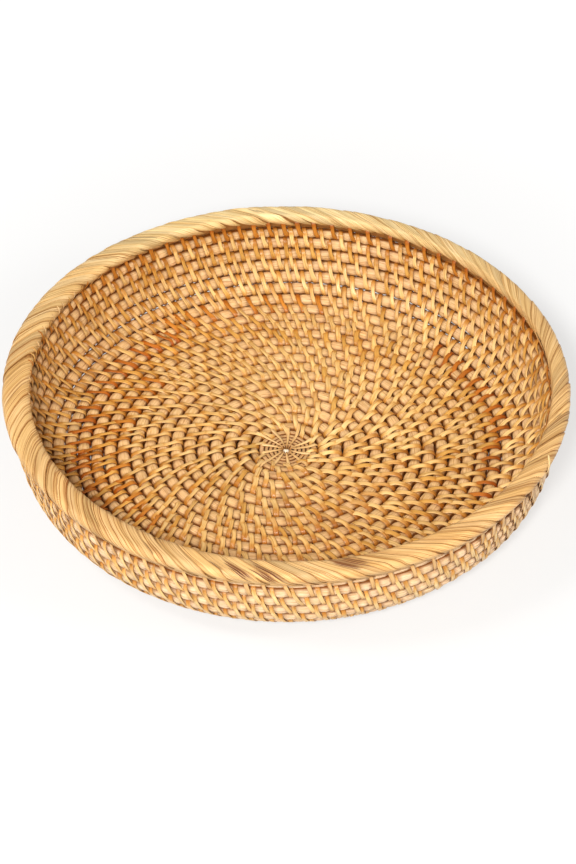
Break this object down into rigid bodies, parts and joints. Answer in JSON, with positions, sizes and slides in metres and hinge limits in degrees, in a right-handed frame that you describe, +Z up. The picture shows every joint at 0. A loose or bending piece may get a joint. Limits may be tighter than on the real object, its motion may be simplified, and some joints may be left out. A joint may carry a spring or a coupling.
{
  "type": "coiled rattan tray",
  "caption": "Shallow round coiled rattan tray with a flat floor, steep wall and wrapped rim, used as a winnowing or serving basket.",
  "frame": {"origin": "centre of the tray on the plane it rests on", "axes": "+Z up through the open top, X and Y in the resting plane; the coil is spliced on the X axis"},
  "size_m": [0.3, 0.3, 0.0551],
  "materials": {
    "core": "matt peeled rattan",
    "binding": "satin split rattan skin",
    "rim_wrap": "satin flat rattan strip"
  },
  "bodies": {
    "root": {"binding_centre": "binding", "binding_first_rows": "binding", "binding_floor_row_01": "binding", "binding_floor_row_02": "binding", "binding_floor_row_03": "binding", "binding_floor_row_04": "binding", "binding_floor_row_05": "binding", "binding_floor_row_06": "binding", "binding_floor_row_07": "binding", "binding_floor_row_08": "binding", "binding_floor_row_09": "binding", "binding_floor_row_10": "binding", "binding_floor_row_11": "binding", "binding_floor_row_12": "binding", "binding_floor_row_13": "binding", "binding_wall_row_14": "binding", "binding_wall_row_15": "binding", "binding_wall_row_16": "binding", "binding_wall_row_17": "binding", "binding_wall_row_18": "binding", "binding_wall_row_19": "binding", "binding_wall_row_20": "binding", "core_bend": "core", "core_centre_start": "core", "core_floor_inner": "core", "core_floor_middle": "core", "core_floor_outer": "core", "core_tapered_end": "core", "core_tapered_lead": "core", "core_wall": "core", "rim_coil": "core", "rim_rod_inner": "core", "rim_rod_outer": "core", "rim_wrap": "rim_wrap"}
  },
  "joints": []
}
